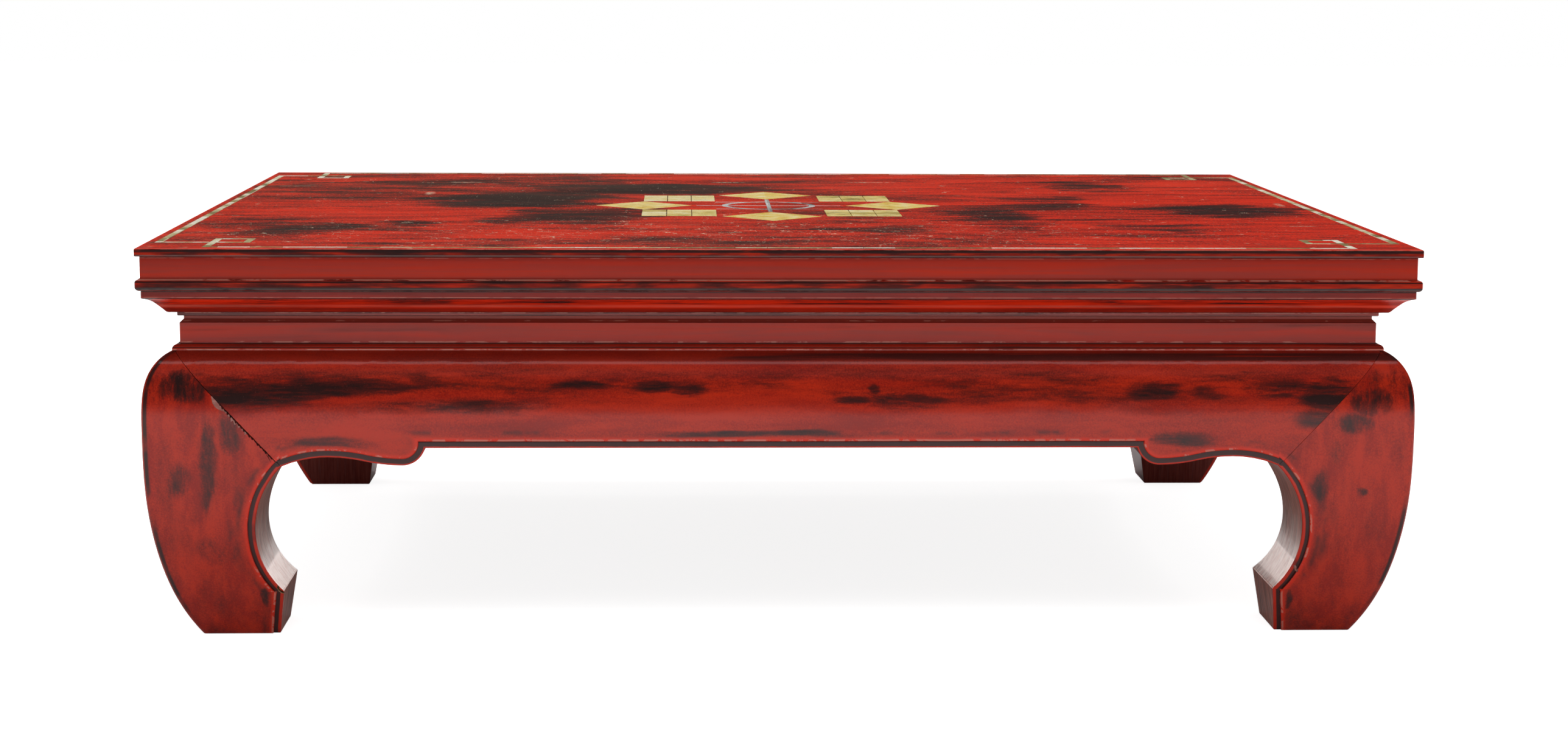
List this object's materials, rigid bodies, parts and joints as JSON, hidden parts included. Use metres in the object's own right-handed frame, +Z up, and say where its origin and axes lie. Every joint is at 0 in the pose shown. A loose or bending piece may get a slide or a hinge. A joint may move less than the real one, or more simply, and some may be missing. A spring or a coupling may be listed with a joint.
{
  "type": "kang table",
  "caption": "Low waisted kang table in red lacquer: mitred framed top with shell inlay, bulging cusped aprons and curved legs on inward hoof feet",
  "frame": {"origin": "on the floor under the middle of the table", "axes": "+X along the table, +Y to the back, +Z up; the front is -Y"},
  "size_m": [0.96, 0.78, 0.3],
  "materials": {
    "lacquer_top": "glossy red lacquer worn through to black along the length",
    "lacquer_moulding": "duller brownish red lacquer",
    "lacquer_stand": "glossy red lacquer over black, worn at the edges",
    "bare_wood": "unlacquered softwood",
    "shell_gold": "aged mother-of-pearl, cream and yellow",
    "shell_green": "aged mother-of-pearl, olive and cream",
    "shell_white": "aged mother-of-pearl, white and grey",
    "shell_pink": "aged mother-of-pearl in alternating tints"
  },
  "bodies": {
    "root": {"apron_front": "lacquer_stand", "apron_left": "lacquer_stand", "apron_pegs": "bare_wood", "apron_rear": "lacquer_stand", "apron_right": "lacquer_stand", "batten_left": "bare_wood", "batten_middle": "bare_wood", "batten_right": "bare_wood", "bead_front": "lacquer_moulding", "bead_left": "lacquer_moulding", "bead_rear": "lacquer_moulding", "bead_right": "lacquer_moulding", "corner_pegs": "bare_wood", "cornice_front": "lacquer_moulding", "cornice_left": "lacquer_moulding", "cornice_rear": "lacquer_moulding", "cornice_right": "lacquer_moulding", "inlay_bars": "shell_white", "inlay_diamond_front": "shell_gold", "inlay_diamond_left": "shell_gold", "inlay_diamond_rear": "shell_gold", "inlay_diamond_right": "shell_gold", "inlay_fret_front_left": "shell_gold", "inlay_fret_front_right": "shell_gold", "inlay_fret_rear_left": "shell_gold", "inlay_fret_rear_right": "shell_gold", "inlay_line_front": "shell_pink", "inlay_line_left": "shell_pink", "inlay_line_rear": "shell_pink", "inlay_line_right": "shell_pink", "inlay_ring": "shell_white", "inlay_tiles_front_left": "shell_green", "inlay_tiles_front_right": "shell_green", "inlay_tiles_rear_left": "shell_green", "inlay_tiles_rear_right": "shell_green", "leg_front_left": "lacquer_stand", "leg_front_right": "lacquer_stand", "leg_rear_left": "lacquer_stand", "leg_rear_right": "lacquer_stand", "panel_board_front": "lacquer_top", "panel_board_middle": "lacquer_top", "panel_board_rear": "lacquer_top", "top_rail_front": "lacquer_top", "top_rail_left": "lacquer_top", "top_rail_rear": "lacquer_top", "top_rail_right": "lacquer_top", "waist_front": "lacquer_moulding", "waist_left": "lacquer_moulding", "waist_rear": "lacquer_moulding", "waist_right": "lacquer_moulding"}
  },
  "joints": []
}
